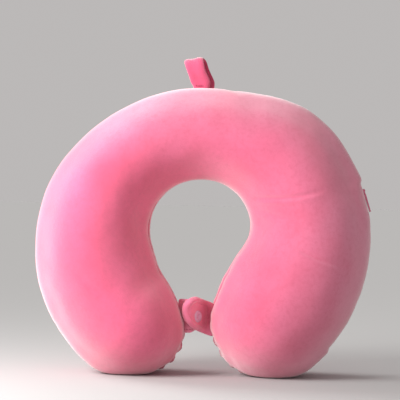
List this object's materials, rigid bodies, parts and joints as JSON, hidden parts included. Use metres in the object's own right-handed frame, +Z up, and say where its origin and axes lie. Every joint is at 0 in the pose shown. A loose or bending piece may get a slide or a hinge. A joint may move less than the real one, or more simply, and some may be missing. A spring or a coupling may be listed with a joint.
{
  "type": "u shaped neck pillow",
  "caption": "U shaped travel neck pillow in plush velour over a foam core, with a snap closure between its lobes, a hanging loop at the crown and a zip along one side.",
  "frame": {"origin": "on the floor midway between the two lobes the pillow stands on, in its seam plane", "axes": "+Z up towards the crown, +X across the pillow to the arm with the zip, +Y to the back, so the front faces -Y"},
  "size_m": [0.3014, 0.1148, 0.285],
  "materials": {
    "velour": "soft pile",
    "velour_strap": "soft pile",
    "velour_tab": "soft pile",
    "velour_lining": "soft pile",
    "liner_knit": "matte knit",
    "memory_foam": "matte foam",
    "thread": "matte thread",
    "zip_tape": "matte woven",
    "zip_coil": "satin",
    "zip_metal": "satin paint",
    "snap_plastic": "gloss"
  },
  "bodies": {
    "pillow": {"foam_core": "memory_foam", "liner_front_panel": "liner_knit", "liner_back_panel": "liner_knit", "cover_front_panel": "velour", "cover_back_panel": "velour", "zip_tape_front": "zip_tape", "zip_tape_back": "zip_tape", "zip_coil_front": "zip_coil", "zip_coil_back": "zip_coil", "zip_top_stop": "zip_metal", "zip_bottom_stop": "zip_metal"},
    "zip_slider": {"zip_slider": "zip_metal"},
    "zip_pull": {"zip_pull": "zip_metal"},
    "hanging_loop": {"hanging_loop_strap": "velour_strap", "hanging_loop_bar_tack": "thread"},
    "front_tab": {"front_tab_face_ply": "velour_tab", "front_tab_lining_ply": "velour_lining", "front_tab_stitching": "thread", "snap_socket_cap": "snap_plastic", "snap_socket": "snap_plastic"},
    "back_tab": {"back_tab_face_ply": "velour_tab", "back_tab_lining_ply": "velour_lining", "back_tab_stitching": "thread", "snap_stud": "snap_plastic", "snap_stud_cap": "snap_plastic"}
  },
  "joints": [
    {"name": "zip_travel", "type": "hinge", "parent": "pillow", "child": "zip_slider", "pos_m": [0, 0, 0.121], "axis": [0, 1, 0], "range_deg": [0, 54]},
    {"name": "zip_pull_swing", "type": "hinge", "parent": "zip_slider", "child": "zip_pull", "pos_m": [0.14469, 0, 0.16885], "axis": [0, -1, 0], "range_deg": [0, 150]},
    {"name": "hanging_loop_swing", "type": "hinge", "parent": "pillow", "child": "hanging_loop", "pos_m": [0, 0, 0.259], "axis": [1, 0, 0], "range_deg": [-35, 35], "stiffness_Nm_per_rad": 0.003},
    {"name": "front_tab_peel", "type": "hinge", "parent": "pillow", "child": "front_tab", "pos_m": [0.0099, -0.0056, 0.052], "axis": [0, 0, 1], "range_deg": [0, 80], "stiffness_Nm_per_rad": 0.002},
    {"name": "back_tab_peel", "type": "hinge", "parent": "pillow", "child": "back_tab", "pos_m": [-0.0099, 0.0028, 0.052], "axis": [0, 0, 1], "range_deg": [0, 80], "stiffness_Nm_per_rad": 0.002}
  ]
}
